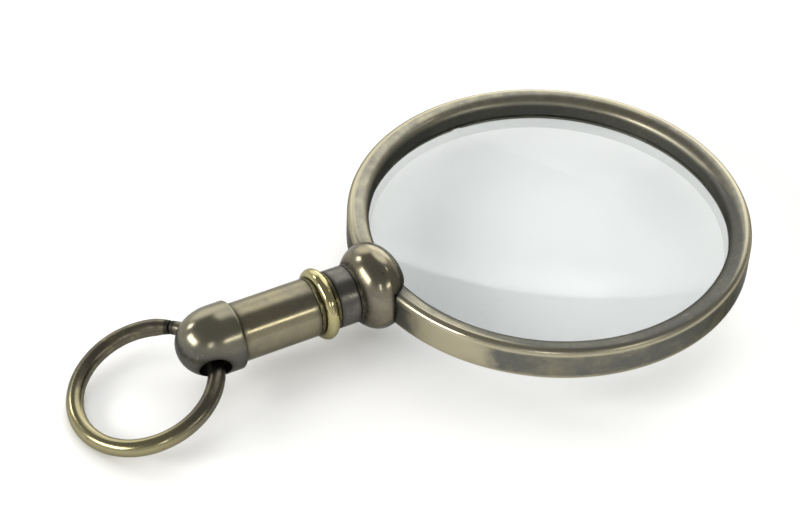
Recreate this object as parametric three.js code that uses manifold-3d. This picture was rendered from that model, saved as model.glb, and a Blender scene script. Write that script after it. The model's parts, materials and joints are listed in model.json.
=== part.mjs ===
// A brass hand lens: a biconvex glass in a turned rim, on a short stacked handle with a free-swinging ring.
// Millimetres, +Z up along the optical axis. The handle points along -X. The origin is at the middle of the
// base of the bounding box.
import * as THREE from "three";
import { mergeVertices } from "three/addons/utils/BufferGeometryUtils.js";
import Module from "manifold-3d";

const wasm = await Module();
wasm.setup();

// ---- Driving dimensions ---------------------------------------------------------------------------------

// Lens mount. Heights are measured from the flat underside of the rim.
const LENS_R = 23;
const LENS_EDGE = 0.8; // thickness of the glass at its edge
const LENS_CROWN = 1.4; // rise of each face from its edge to its middle
const LENS_BORE_GAP = 0.2;
const SEAT_GAP = 0.05; // between the glass and what it seats on
const RIM_WALL = 1.8; // outside the bore that the glass drops into
const RIM_TOP_ROUND = 0.85; // outer top edge
const RIM_LIP_SLOPE = 1.2; // drop of the rounded top from its crest to the inner wall
const RIM_FOOT_ROUND = 0.3; // outer bottom edge
const LIP_OVERLAP = 0.7; // how far the lip reaches in over the glass
const LIP_THICKNESS = 2.49;
const KEEPER_WIDTH = 0.7; // radial width of the threaded ring under the glass
const KEEPER_THICKNESS = 0.6;
const KEEPER_RECESS = 0.2; // how far it sits up inside the rim
const KEEPER_NOTCH_WIDTH = 1.2;
const KEEPER_NOTCH_DEPTH = 0.3;

// Handle. Lengths run outwards from the rim's outer wall, along the handle.
const HANDLE_R = 3.58;
const COLLAR_R = 5.32; // ball collar, a turned ellipsoid that straddles the rim wall
const COLLAR_HALF_LENGTH = 3.72;
const COLLAR_CENTRE_INSET = 0.12; // how far its middle sits inside the rim's outer wall
const COVE_R = 0.45; // hollow fillet between a turned shape and the plain handle
const NECK_LENGTH = 2.55;
const BEAD_RISE = 0.84; // above the plain handle
const BEAD_ROUND = 0.85;
const TUBE_LENGTH = 9.85;
const TUBE_WALL = 0.7;
const STACK_GAP = 0.05; // between the pieces stacked along the handle
const FIT_GAP = 0.05; // radial gap of a spigot in its bore
const SPIGOT_LENGTH = 1.5;

// End cap and the plug it screws on to.
const CAP_OVERHANG = 0.62; // of the skirt past the tube it meets
const CAP_WALL = 0.7;
const CAP_SKIRT_LENGTH = 2.15;
const CAP_DOME_LENGTH = 5;
const CAP_DOME_FULLNESS = 0.92; // 1 is an ellipse, less is blunter
const CAP_EDGE_ROUND = 0.4;
const CAP_HOLE_PLAY = 0.75; // radial, round the ring's wire
const CAP_HOLE_FROM_MOUTH = 3.95;
const CAP_HOLE_DROP = 0.95; // the cross hole is drilled below the handle's centre line
const PLUG_INSIDE = 3.6;
const PLUG_BOSS = 1.35;

// Long screw that clamps the stack to the ball collar.
const SCREW_R = 1.4;
const SCREW_CLEARANCE = 0.1;
const SCREW_HEAD_RISE = 1.05;
const SCREW_HEAD_LENGTH = 1.1;
const SCREW_SLOT_WIDTH = 0.6;
const SCREW_SLOT_DEPTH = 0.5;
const SCREW_END_GAP = 0.5;

// Hanging ring.
const RING_R = 8.6; // to the middle of the wire
const WIRE_R = 1.05;
const RING_PIVOT_DROP = 1.2; // the wire rests low in the cross hole
const RING_SWING_GAP = 0.1;
const RING_DROOP_DEG = 17.4;
const RING_SLIT = 0.15; // butt joint of the bent wire
const RING_SLIT_DEG = 43; // from the pivot round to the joint

// Facets.
const RIM_SIDES = 72;
const HANDLE_SIDES = 36;
const WIRE_SIDES = 12;
const RING_SIDES = 60;
const CUT_MARGIN = 5; // how far a cutting solid runs past what it cuts

// ---- Sizes worked out from them -------------------------------------------------------------------------

const lensBoreR = LENS_R + LENS_BORE_GAP;
const rimOuterR = lensBoreR + RIM_WALL;
const lipInnerR = LENS_R - LIP_OVERLAP;
const rimCrestR = rimOuterR - RIM_TOP_ROUND;
const keeperInnerR = lensBoreR - FIT_GAP - KEEPER_WIDTH;
// A domed face of the glass stands this far above its own edge, at radius r.
const faceRise = (r) => LENS_CROWN * (1 - (r / LENS_R) ** 2);
// The glass is stacked between the keeper ring and the lip.
const keeperTop = KEEPER_RECESS + KEEPER_THICKNESS;
const lensBottomEdge = keeperTop + SEAT_GAP + faceRise(keeperInnerR);
const lensTopEdge = lensBottomEdge + LENS_EDGE;
const lipUnderside = lensTopEdge + faceRise(lipInnerR) + SEAT_GAP;
const rimHeight = lipUnderside + LIP_THICKNESS;

const handleHeight = rimHeight / 2;
const collarCentre = rimOuterR - COLLAR_CENTRE_INSET;
const collarMeetsHandle = collarCentre + COLLAR_HALF_LENGTH * Math.sqrt(1 - (HANDLE_R / COLLAR_R) ** 2);
const collarEnd = collarMeetsHandle + COVE_R;
const neckStart = collarEnd + STACK_GAP;
const neckEnd = neckStart + NECK_LENGTH;
const beadStart = neckEnd + STACK_GAP;
const beadEnd = beadStart + 2 * (BEAD_ROUND + COVE_R);
const tubeStart = beadEnd + STACK_GAP;
const tubeEnd = tubeStart + TUBE_LENGTH;
const tubeBoreR = HANDLE_R - TUBE_WALL;
const spigotR = tubeBoreR - FIT_GAP;
const screwBoreR = SCREW_R + SCREW_CLEARANCE;
const screwHeadR = SCREW_R + SCREW_HEAD_RISE;

const capR = HANDLE_R + CAP_OVERHANG;
const capHoleR = WIRE_R + CAP_HOLE_PLAY;
const capMouth = tubeEnd + STACK_GAP;
const capDomeStart = capMouth + CAP_SKIRT_LENGTH;
const plugBossEnd = capMouth + PLUG_BOSS;
const screwHeadStart = plugBossEnd - SCREW_HEAD_LENGTH;

const pivotX = capMouth + CAP_HOLE_FROM_MOUTH;
const pivotZ = handleHeight - RING_PIVOT_DROP;
const holeZ = handleHeight - CAP_HOLE_DROP;
const droop = THREE.MathUtils.degToRad(RING_DROOP_DEG);
// The wire crosses the middle of the cap's wall on the pivot line.
const wallMiddleY = Math.sqrt(capR ** 2 - RING_PIVOT_DROP ** 2) - CAP_WALL / 2;
const pivotToRingCentre = Math.sqrt(RING_R ** 2 - wallMiddleY ** 2);
const ringFarX = pivotX + (pivotToRingCentre + RING_R) * Math.cos(droop) + WIRE_R;
const ringLowZ = pivotZ - (pivotToRingCentre + RING_R) * Math.sin(droop) - WIRE_R;

// Rim axis and rim underside, seen from the middle of the base of the bounding box.
const rimAxisX = (ringFarX - rimOuterR) / 2;
const rimUndersideZ = -Math.min(ringLowZ, handleHeight - COLLAR_R);

// ---- Materials ------------------------------------------------------------------------------------------

const finish = (color, metalness, roughness, more = {}) =>
  new THREE.MeshStandardMaterial({ color, metalness, roughness, ...more });
const agedBrass = () => finish("#8c8063", 1, 0.3);
const darkBrass = () => finish("#65605a", 1, 0.35);
const brightBrass = () => finish("#b0a476", 1, 0.25);
const steel = () => finish("#8f9194", 1, 0.4);
const clearGlass = () => finish("#dfe6e6", 0, 0.03, { transparent: true, opacity: 0.35 });

// ---- Helpers --------------------------------------------------------------------------------------------

const point = (x, y) => new THREE.Vector2(x, y);

// Points of an arc about (cx, cy), angles in degrees, both ends included.
function arc(cx, cy, rx, ry, fromDeg, toDeg, steps) {
  return Array.from({ length: steps + 1 }, (_, i) => {
    const angle = THREE.MathUtils.degToRad(fromDeg + ((toDeg - fromDeg) * i) / steps);
    return point(cx + rx * Math.cos(angle), cy + ry * Math.sin(angle));
  });
}

// A profile of (radius, height) points, turned about +Z, and closed on itself where it misses the axis.
function turned(points, sides, closed) {
  const profile = closed ? [...points, points[0].clone()] : points;
  return new THREE.LatheGeometry(profile, sides).rotateX(Math.PI / 2);
}

// A profile of (radius, distance from the rim axis) points, turned about the handle.
function turnedOnHandle(points, closed) {
  const profile = closed ? [...points, points[0].clone()] : points;
  return new THREE.LatheGeometry(profile, HANDLE_SIDES).rotateZ(Math.PI / 2);
}

// A three.js geometry as a solid that can be cut.
function solid(geometry) {
  const bare = geometry.clone();
  bare.deleteAttribute("normal");
  bare.deleteAttribute("uv");
  const merged = mergeVertices(bare, 1e-4);
  return new wasm.Manifold(
    new wasm.Mesh({
      numProp: 3,
      vertProperties: merged.attributes.position.array,
      triVerts: new Uint32Array(merged.index.array),
    }),
  );
}

// A solid back as a three.js geometry.
function shape(made) {
  const mesh = made.getMesh();
  const geometry = new THREE.BufferGeometry();
  geometry.setAttribute("position", new THREE.BufferAttribute(mesh.vertProperties, 3));
  geometry.setIndex(new THREE.BufferAttribute(mesh.triVerts, 1));
  geometry.computeVertexNormals();
  return geometry;
}

const cut = (geometry, ...tools) =>
  shape(tools.reduce((left, tool) => left.subtract(solid(tool)), solid(geometry)));

function piece(name, geometry, material) {
  const mesh = new THREE.Mesh(geometry, material);
  mesh.name = name;
  return mesh;
}

// ---- Lens mount: modelled on the rim axis, from the rim's underside up ----------------------------------

function rimBand() {
  const profile = [
    point(lensBoreR, 0),
    ...arc(rimOuterR - RIM_FOOT_ROUND, RIM_FOOT_ROUND, RIM_FOOT_ROUND, RIM_FOOT_ROUND, -90, 0, 2),
    ...arc(rimCrestR, rimHeight - RIM_TOP_ROUND, RIM_TOP_ROUND, RIM_TOP_ROUND, 0, 90, 4),
    ...arc(rimCrestR, rimHeight - RIM_LIP_SLOPE, rimCrestR - lipInnerR, RIM_LIP_SLOPE, 90, 180, 6).slice(1),
    point(lipInnerR, lipUnderside),
    point(lensBoreR, lipUnderside),
  ];
  return turned(profile, RIM_SIDES, true);
}

// Half the glass's profile: a shallow spherical face drawn as its parabola, from the middle out to the edge.
function lensFace(edgeHeight, side, steps = 7) {
  return Array.from({ length: steps + 1 }, (_, i) => {
    const r = (LENS_R * i) / steps;
    return point(r, edgeHeight + side * faceRise(r));
  });
}

function lens() {
  const under = lensFace(lensBottomEdge, -1);
  const over = lensFace(lensTopEdge, 1).reverse();
  return turned([...under, ...over], RIM_SIDES, false);
}

// Threaded ring that keeps the glass up against the lip, with two notches for a spanner.
function keeperRing() {
  const outerR = lensBoreR - FIT_GAP;
  const ring = turned(
    [
      point(keeperInnerR, KEEPER_RECESS),
      point(outerR, KEEPER_RECESS),
      point(outerR, keeperTop),
      point(keeperInnerR, keeperTop),
    ],
    RIM_SIDES,
    true,
  );
  const notches = new THREE.BoxGeometry(KEEPER_NOTCH_WIDTH, 2 * LENS_R + CUT_MARGIN, 2 * KEEPER_NOTCH_DEPTH);
  return cut(ring, notches.translate(0, 0, KEEPER_RECESS));
}

// ---- Handle: turned about the handle's axis, distances from the rim axis --------------------------------

// The ball collar is slotted to sit over the rim wall, and tapped for the long screw.
function ballCollar() {
  const meets = Math.acos((collarMeetsHandle - collarCentre) / COLLAR_HALF_LENGTH);
  const steps = 14;
  const ellipse = Array.from({ length: steps + 1 }, (_, i) => {
    const angle = Math.PI + ((meets - Math.PI) * i) / steps;
    const r = i === 0 ? 0 : COLLAR_R * Math.sin(angle);
    return point(r, collarCentre + COLLAR_HALF_LENGTH * Math.cos(angle));
  });
  const body = turnedOnHandle([...ellipse, point(HANDLE_R, collarEnd), point(0, collarEnd)], false);
  const tapped = new THREE.CylinderGeometry(screwBoreR, screwBoreR, 2 * rimOuterR, HANDLE_SIDES)
    .rotateZ(Math.PI / 2)
    .translate(-2 * rimOuterR, 0, 0);
  const rimSlot = turned(
    [
      point(0, -STACK_GAP),
      point(rimOuterR + STACK_GAP, -STACK_GAP),
      point(rimOuterR + STACK_GAP, rimHeight + STACK_GAP),
      point(0, rimHeight + STACK_GAP),
    ],
    RIM_SIDES,
    false,
  ).translate(0, 0, -handleHeight);
  return cut(body, tapped, rimSlot);
}

// A plain turned sleeve between two stations along the handle.
function sleeve(innerR, outerR, from, to) {
  return turnedOnHandle(
    [point(innerR, from), point(outerR, from), point(outerR, to), point(innerR, to)],
    true,
  );
}

const neckSleeve = () => sleeve(screwBoreR, HANDLE_R, neckStart, neckEnd);
const handleTube = () => sleeve(tubeBoreR, HANDLE_R, tubeStart, tubeEnd);

// Half-round bead with a cove on each side, and a spigot that centres the tube.
function beadRing() {
  const middle = (beadStart + beadEnd) / 2;
  const round = arc(0, 0, BEAD_ROUND, BEAD_RISE, 180, 0, 8).map((p) => point(HANDLE_R + p.y, middle + p.x));
  return turnedOnHandle(
    [
      point(screwBoreR, beadStart),
      point(HANDLE_R, beadStart),
      ...round,
      point(HANDLE_R, beadEnd),
      point(spigotR, beadEnd),
      point(spigotR, beadEnd + SPIGOT_LENGTH),
      point(screwBoreR, beadEnd + SPIGOT_LENGTH),
    ],
    true,
  );
}

// Closes the tube: a spigot inside it, and a threaded boss that takes the cap and hides the screw's head.
function endPlug() {
  const bossR = capR - CAP_WALL - FIT_GAP;
  const counterboreR = screwHeadR + FIT_GAP;
  const counterboreFloor = screwHeadStart - STACK_GAP;
  return turnedOnHandle(
    [
      point(screwBoreR, tubeEnd - PLUG_INSIDE),
      point(spigotR, tubeEnd - PLUG_INSIDE),
      point(spigotR, tubeEnd + STACK_GAP),
      point(bossR, tubeEnd + STACK_GAP),
      point(bossR, plugBossEnd),
      point(counterboreR, plugBossEnd),
      point(counterboreR, counterboreFloor),
      point(screwBoreR, counterboreFloor),
    ],
    true,
  );
}

function handleScrew() {
  const tip = rimOuterR + SCREW_END_GAP;
  const head = screwHeadStart + SCREW_HEAD_LENGTH;
  const body = turnedOnHandle(
    [
      point(0, tip),
      point(SCREW_R, tip),
      point(SCREW_R, screwHeadStart),
      point(screwHeadR, screwHeadStart),
      point(screwHeadR, head),
      point(0, head),
    ],
    false,
  );
  const slot = new THREE.BoxGeometry(2 * SCREW_SLOT_DEPTH, 2 * screwHeadR + CUT_MARGIN, SCREW_SLOT_WIDTH);
  return cut(body, slot.translate(-head, 0, 0));
}

// The space that the wire sweeps about the pivot line, as a barrel turned about Y through the pivot.
function swingRelief(steps = 8) {
  const half = capR;
  const barrel = Array.from({ length: steps + 1 }, (_, i) => {
    const y = -half + (2 * half * i) / steps;
    const across = Math.sqrt(RING_R ** 2 - y ** 2);
    return point(Math.abs(across - pivotToRingCentre) + (WIRE_R * RING_R) / across + RING_SWING_GAP, y);
  });
  const profile = [point(0, -half), ...barrel, point(0, half)];
  return new THREE.LatheGeometry(profile, HANDLE_SIDES).translate(-pivotX, 0, pivotZ - handleHeight);
}

// Hollow dome with a short skirt and a cross hole, relieved inside so that the ring swings freely.
function endCap() {
  const dome = (radius, length, steps) =>
    Array.from({ length: steps + 1 }, (_, i) => {
      const angle = ((Math.PI / 2) * i) / steps;
      const r = i === steps ? 0 : radius * Math.cos(angle) ** CAP_DOME_FULLNESS;
      return point(r, capDomeStart + length * Math.sin(angle));
    });
  const innerR = capR - CAP_WALL;
  const edge = CAP_EDGE_ROUND;
  const shell = turnedOnHandle(
    [
      ...dome(innerR, CAP_DOME_LENGTH - CAP_WALL, 7).reverse(),
      point(innerR, capMouth),
      ...arc(0, 0, edge, edge, -90, 0, 3).map((p) => point(capR - edge + p.x, capMouth + edge + p.y)),
      ...dome(capR, CAP_DOME_LENGTH, 9),
    ],
    false,
  );
  const crossHole = new THREE.CylinderGeometry(capHoleR, capHoleR, 2 * capR + CUT_MARGIN, HANDLE_SIDES);
  return cut(shell, crossHole.translate(-pivotX, 0, holeZ - handleHeight), swingRelief());
}

// ---- Hanging ring: modelled on its own pivot, lying along -X --------------------------------------------

function hangingRing() {
  // The wire's facets are turned by the droop, so that its lowest and furthest points are corners.
  const wire = arc(RING_R, 0, WIRE_R, WIRE_R, RING_DROOP_DEG, 360 + RING_DROOP_DEG, WIRE_SIDES).slice(0, -1);
  const loop = turned(wire, RING_SIDES, true);
  const slit = new THREE.BoxGeometry(RING_R, RING_SLIT, 2 * WIRE_R + CUT_MARGIN)
    .translate(RING_R, 0, 0)
    .rotateZ(THREE.MathUtils.degToRad(RING_SLIT_DEG));
  return cut(loop, slit).translate(-pivotToRingCentre, 0, 0);
}

// ---- Assembly -------------------------------------------------------------------------------------------

const handLens = new THREE.Group();

const onRimAxis = new THREE.Group();
onRimAxis.position.set(rimAxisX, 0, rimUndersideZ);
onRimAxis.add(
  piece("rim_band", rimBand(), agedBrass()),
  piece("lens", lens(), clearGlass()),
  piece("keeper_ring", keeperRing(), agedBrass()),
);

const handle = new THREE.Group();
handle.position.set(0, 0, handleHeight);
handle.add(
  piece("ball_collar", ballCollar(), agedBrass()),
  piece("neck_sleeve", neckSleeve(), darkBrass()),
  piece("bead_ring", beadRing(), brightBrass()),
  piece("handle_tube", handleTube(), agedBrass()),
  piece("end_plug", endPlug(), agedBrass()),
  piece("handle_screw", handleScrew(), steel()),
  piece("end_cap", endCap(), agedBrass()),
);
onRimAxis.add(handle);

const swing = new THREE.Group();
swing.position.set(-pivotX, 0, pivotZ);
swing.rotation.y = -droop;
swing.add(piece("hanging_ring", hangingRing(), agedBrass()));
onRimAxis.add(swing);

handLens.add(onRimAxis);

export default handLens;
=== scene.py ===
# %% [markdown]
# # An aged brass hand lens
#
# The object is a reading glass on a short stacked handle: a turned rim with a biconvex glass, a ball collar
# that straddles the rim, a plain neck, a bead, a tube, a domed cap, and a wire ring that swings through a
# cross hole in the cap. The working model already fixes every size. This script dresses it: each piece is
# turned again with a fine surface, gets a finish, and is put on the body that it moves with.

# %% Load the working model
import json
import math

import bmesh
import bpy
from mathutils import Matrix, Vector
from mathutils import noise as Noise


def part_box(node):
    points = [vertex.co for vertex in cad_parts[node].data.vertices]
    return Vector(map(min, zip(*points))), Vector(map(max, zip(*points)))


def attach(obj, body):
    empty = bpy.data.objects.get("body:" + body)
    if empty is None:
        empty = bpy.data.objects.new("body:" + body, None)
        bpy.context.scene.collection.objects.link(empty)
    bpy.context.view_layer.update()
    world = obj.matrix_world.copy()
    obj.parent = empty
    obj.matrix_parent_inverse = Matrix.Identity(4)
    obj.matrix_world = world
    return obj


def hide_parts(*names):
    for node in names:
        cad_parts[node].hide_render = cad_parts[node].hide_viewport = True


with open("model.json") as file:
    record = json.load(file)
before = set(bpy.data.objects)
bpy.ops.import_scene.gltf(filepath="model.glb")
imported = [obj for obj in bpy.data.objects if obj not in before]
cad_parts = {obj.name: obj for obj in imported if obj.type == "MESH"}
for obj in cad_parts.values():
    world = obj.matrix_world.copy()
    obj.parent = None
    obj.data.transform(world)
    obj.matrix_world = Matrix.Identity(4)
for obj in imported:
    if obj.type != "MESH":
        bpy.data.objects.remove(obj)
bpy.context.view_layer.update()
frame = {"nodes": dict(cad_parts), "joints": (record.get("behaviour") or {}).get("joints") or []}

# %% [markdown]
# ## Where everything is
#
# A lathe turns things about an axis, and so does this script. There are three axes: the rim's, which is
# upright, the handle's, which runs out along -X, and the ring's own, which droops with the ring. A piece is
# drawn in millimetres on its own axis, as a turner's drawing is, and one matrix then carries it to its place
# in metres. All the places come from the boxes of the working model's parts, so nothing is fitted by eye.

# %% Read the axes from the parts' boxes
MM = 0.001


def box_mm(node):
    """Lowest and highest corner of a part of the working model, in millimetres."""
    low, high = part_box(node)
    return low / MM, high / MM


rim_low, rim_high = box_mm("rim_band")
tube_low, tube_high = box_mm("handle_tube")
ring_low = box_mm("hanging_ring")[0]

rim_axis_x = (rim_low.x + rim_high.x) / 2
rim_foot_z = rim_low.z
rim_height = rim_high.z - rim_low.z
rim_radius = (rim_high.x - rim_low.x) / 2
handle_axis_z = (tube_low.z + tube_high.z) / 2
handle_radius = (tube_high.z - tube_low.z) / 2

RING_DROOP = math.radians(17.4)
RING_RADIUS = 8.6
WIRE_RADIUS = 1.05
ring_centre = Vector((
    ring_low.x + WIRE_RADIUS + RING_RADIUS * math.cos(RING_DROOP),
    0,
    ring_low.z + WIRE_RADIUS + RING_RADIUS * math.sin(RING_DROOP),
))


def axis_frame(origin_mm, turn_about_y):
    """Matrix from millimetres on a turning axis (its Z) to metres in the model's frame."""
    place = Matrix.Translation(Vector(origin_mm) * MM)
    turn = Matrix.Rotation(turn_about_y, 4, "Y")
    return place @ turn @ Matrix.Scale(MM, 4)


ON_RIM = axis_frame((rim_axis_x, 0, rim_foot_z), 0)
ON_HANDLE = axis_frame((rim_axis_x, 0, handle_axis_z), -math.pi / 2)
ON_RING = axis_frame(ring_centre, -RING_DROOP)


def station(x):
    """Distance of a place on the handle from the rim's axis."""
    return rim_axis_x - x


print(f"rim axis at x {rim_axis_x:.3f} mm, radius {rim_radius:.3f}, height {rim_height:.3f}")
print(f"handle axis at z {handle_axis_z:.3f} mm, radius {handle_radius:.3f}")
print(f"ring centre at x {ring_centre.x:.3f}, z {ring_centre.z:.3f} mm")

# %% [markdown]
# ## Tools for turning
#
# A turned piece could be made from a cylinder that is pushed about, but a lathe's own way is simpler: draw
# half the outline once, and sweep it round the axis with the spin operator. Rounded corners are arcs in the
# outline. Long straight stretches are cut into shorter ones, so that marks stored on the points, such as
# wear on the edges, stay near the edges and don't bleed along a whole wall. Some operators number points and
# faces differently each time, so they are put in one order, by place, and every run gives the same piece.


# %% Outlines
def arc(centre, radius, start_deg, end_deg, steps, rise=None):
    """Points of an arc about a (radius, height) centre. A rise that differs from radius makes an ellipse."""
    rise = radius if rise is None else rise
    angles = [math.radians(start_deg + (end_deg - start_deg) * i / steps) for i in range(steps + 1)]
    return [(centre[0] + radius * math.cos(a), centre[1] + rise * math.sin(a)) for a in angles]


def outline(points, closed, longest):
    """A bmesh that holds a turner's outline in the XZ plane, with no stretch over the longest length."""
    bm = bmesh.new()
    corners = [bm.verts.new((r, 0, z)) for r, z in points]
    pairs = list(zip(corners, corners[1:]))
    if closed:
        pairs.append((corners[-1], corners[0]))
    for stretch in [bm.edges.new(pair) for pair in pairs]:
        cuts = math.ceil(stretch.calc_length() / longest) - 1
        if cuts > 0:
            bmesh.ops.subdivide_edges(bm, edges=[stretch], cuts=cuts)
    return bm


# %% The lathe
SAME_POINT = 1e-4
FULL_TURN = 2 * math.pi


def spin(bm, drawing, angle, steps):
    """Sweep a drawing round the axis. A full turn is joined up."""
    bmesh.ops.spin(
        bm, geom=drawing, cent=(0, 0, 0), axis=(0, 0, 1), angle=angle, steps=steps,
        use_merge=angle == FULL_TURN, use_duplicate=False,
    )


def put_in_order(bm):
    """Number points by their places, then edges and faces by their points."""
    for parts, address in (
        (bm.verts, lambda v: v.co[:]),
        (bm.edges, lambda e: sorted(v.index for v in e.verts)),
        (bm.faces, lambda f: sorted(v.index for v in f.verts)),
    ):
        ranks = {part: i for i, part in enumerate(sorted(parts, key=address))}
        parts.sort(key=ranks.get)
        parts.index_update()


def turned(points, closed=True, steps=160, longest=0.45):
    """Spin an outline all the way round. An open outline starts and ends on the axis."""
    bm = outline(points, closed, longest)
    spin(bm, bm.verts[:] + bm.edges[:], FULL_TURN, steps)
    bmesh.ops.remove_doubles(bm, verts=bm.verts, dist=SAME_POINT)
    bmesh.ops.recalc_face_normals(bm, faces=bm.faces)
    put_in_order(bm)
    return bm


def rod(radius, start, end, steps):
    """A plain solid rod on the turning axis, to cut with. Its long sides are left whole."""
    return turned([(0, start), (radius, start), (radius, end), (0, end)], False, steps, end - start + radius)


trial = turned([(3, 0), (4, 0), (4, 2), (3, 2)], steps=12)
print("a trial washer has", len(trial.faces), "faces")
trial.free()

# %% [markdown]
# ## Marks that the finish needs
#
# Hands polish what stands proud and leave dirt in what lies deep. So each point of a piece carries two
# numbers that its material reads. *crest* is the curvature of the surface there, in 1/mm: high on a rounded
# edge, about zero on a flat, negative in a cove. The seam mark is 1 where two pieces meet and fades with
# distance; on the rim and the collar it also marks painted shade and a painted shadow. They could be
# painted by hand, but measuring them from the mesh is exact and follows every change.


# %% Measure crest, and the seam mark with its painted shade
SMALLEST_AREA = 0.01
MOST_CURVED = 3.0
FAR_AWAY = 99.0


def no_seam(place):
    return FAR_AWAY


def mark(bm, darkening_distance=no_seam, reach=0.35):
    """Store crest and seam on the points of a piece that is still in millimetres on its own axis."""
    crest = bm.verts.layers.float.new("crest")
    seam_and_shade = bm.verts.layers.float.new("seam_and_shade")
    for v in bm.verts:
        area = sum(f.calc_area() / len(f.verts) for f in v.link_faces)
        bend = sum(e.calc_face_angle_signed(0.0) * e.calc_length() / 2 for e in v.link_edges)
        curved = bend / (2 * max(area, SMALLEST_AREA))
        v[crest] = max(-MOST_CURVED, min(MOST_CURVED, curved))
        # On the rim and the collar the seam mark also holds painted shade and a painted shadow.
        v[seam_and_shade] = math.exp(-max(0.0, darkening_distance(v.co)) / reach)


def seams_at(*stations):
    """Distance to the nearest of some joints along a turning axis."""
    return lambda place: min(abs(place.z - at) for at in stations)


# %% Turn a bmesh into a piece
SHARP = math.radians(38)


def in_scene(name, data):
    """A new object, linked to the scene."""
    made = bpy.data.objects.new(name, data)
    bpy.context.scene.collection.objects.link(made)
    return made


def piece(name, bm, place, body, material, replaced):
    """Finished object at the origin, its place in its mesh, smooth where it curves and crisp at corners."""
    open_edges = sum(1 for e in bm.edges if not e.is_manifold)
    volume = bm.calc_volume(signed=True)
    bmesh.ops.transform(bm, matrix=place, verts=bm.verts)
    mesh = bpy.data.meshes.new(name)
    bm.to_mesh(mesh)
    bm.free()
    mesh.shade_smooth()
    mesh.set_sharp_from_angle(angle=SHARP)
    mesh.materials.append(material)
    made = in_scene(name, mesh)
    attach(made, body)
    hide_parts(replaced)
    low = [round(min(v.co[i] for v in mesh.vertices) / MM, 2) for i in range(3)]
    high = [round(max(v.co[i] for v in mesh.vertices) / MM, 2) for i in range(3)]
    about = f"{len(mesh.polygons)} faces, {open_edges} open edges, {volume:.1f} mm3"
    print(f"{name}: {about}, {low} to {high} mm")
    return made


# %% [markdown]
# ## Cutting one solid from another
#
# The collar is slotted over the rim, and the cap is cross-drilled. A saw or a drill removes what it passes
# through, and the Boolean modifier does the same. It is applied at once, and the cutter is thrown away, so
# that the piece is a plain mesh afterwards and can be marked and finished like the others. Its points are
# put in order before slivers are welded, because which points merge depends on the order.


# %% Saw and drill
SLIVER = 0.01
SHARP_CORNER = math.radians(30)


def cut_away(bm, *cutters):
    """The first bmesh with the others removed from it, as a new bmesh. All of them are used up."""
    def stock(source, name):
        mesh = bpy.data.meshes.new(name)
        source.to_mesh(mesh)
        source.free()
        return in_scene(name, mesh)

    blank = stock(bm, "blank")
    tools = [stock(cutter, "cutter") for cutter in cutters]
    for tool in tools:
        cut = blank.modifiers.new("cut", "BOOLEAN")
        cut.operation = "DIFFERENCE"
        cut.solver = "EXACT"
        cut.object = tool
    bpy.context.view_layer.update()
    depsgraph = bpy.context.evaluated_depsgraph_get()
    result = bmesh.new()
    result.from_object(blank, depsgraph)
    for made in [blank, *tools]:
        mesh = made.data
        bpy.data.objects.remove(made)
        bpy.data.meshes.remove(mesh)
    put_in_order(result)
    bmesh.ops.remove_doubles(result, verts=result.verts, dist=SLIVER)
    return result


def ease(bm, chosen, width, segments=2):
    """Break the sharp edges that a tool left, as a file does."""
    edges = [e for e in bm.edges if e.calc_face_angle(0.0) > SHARP_CORNER and chosen(e)]
    bmesh.ops.bevel(
        bm, geom=edges, offset=width, offset_type="OFFSET", segments=segments,
        profile=0.5, affect="EDGES", material=-1, clamp_overlap=True,
    )
    put_in_order(bm)
    return len(edges)


# %% [markdown]
# ## Building blocks for the finishes
#
# A shader node group is a small machine with named inputs and outputs. Each effect of age is one group,
# used by several metals with different settings. The helpers below only shorten the writing: *add* makes a
# node and fills in its settings and inputs, and *group* makes a node group with its sockets.


# %% Node helpers
def feed(tree, socket, value):
    """Link a socket, or set it when the value is plain."""
    if isinstance(value, bpy.types.NodeSocket):
        tree.links.new(value, socket)
    else:
        socket.default_value = value


def add(tree, kind, settings=None, **inputs):
    """A node with its settings and its named inputs."""
    made = tree.nodes.new("ShaderNode" + kind)
    for name, value in (settings or {}).items():
        setattr(made, name, value)
    for name, value in inputs.items():
        feed(tree, made.inputs[name.replace("_", " ")], value)
    return made


def calc(tree, operation, first, second=0.0, third=0.0, clamp=False):
    """One step of arithmetic."""
    made = add(tree, "Math", {"operation": operation, "use_clamp": clamp})
    for socket, value in zip(made.inputs, (first, second, third)):
        feed(tree, socket, value)
    return made.outputs[0]


def ramp(tree, value, low, high):
    """0 below low, 1 above high, smooth between."""
    made = add(tree, "MapRange", {"interpolation_type": "SMOOTHSTEP"}, Value=value)
    feed(tree, made.inputs["From Min"], low)
    feed(tree, made.inputs["From Max"], high)
    return made.outputs[0]


def mix_colour(tree, share, first, second):
    made = add(tree, "Mix", {"data_type": "RGBA"})
    for index, value in ((0, share), (6, first), (7, second)):
        feed(tree, made.inputs[index], value)
    return made.outputs[2]


def noise(tree, vector, scale, detail=2.0, rough=0.5, twist=0.0):
    made = add(tree, "TexNoise", Vector=vector, Scale=scale, Detail=detail, Roughness=rough, Distortion=twist)
    return made.outputs[0]


SOCKETS = {"v": "NodeSocketVector", "f": "NodeSocketFloat", "c": "NodeSocketColor"}


def group(name, inputs, outputs):
    """An empty node group. inputs and outputs are (name, kind) pairs, with kind v, f or c."""
    tree = bpy.data.node_groups.new(name, "ShaderNodeTree")
    for direction, sockets in (("INPUT", inputs), ("OUTPUT", outputs)):
        for label, kind in sockets:
            tree.interface.new_socket(label, in_out=direction, socket_type=SOCKETS[kind])
    return tree, tree.nodes.new("NodeGroupInput").outputs, tree.nodes.new("NodeGroupOutput").inputs


def use(tree, effect, **inputs):
    """Place a node group and fill in its inputs. Returns its outputs."""
    made = tree.nodes.new("ShaderNodeGroup")
    made.node_tree = effect
    for name, value in inputs.items():
        feed(tree, made.inputs[name.replace("_", " ")], value)
    return made.outputs


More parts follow.
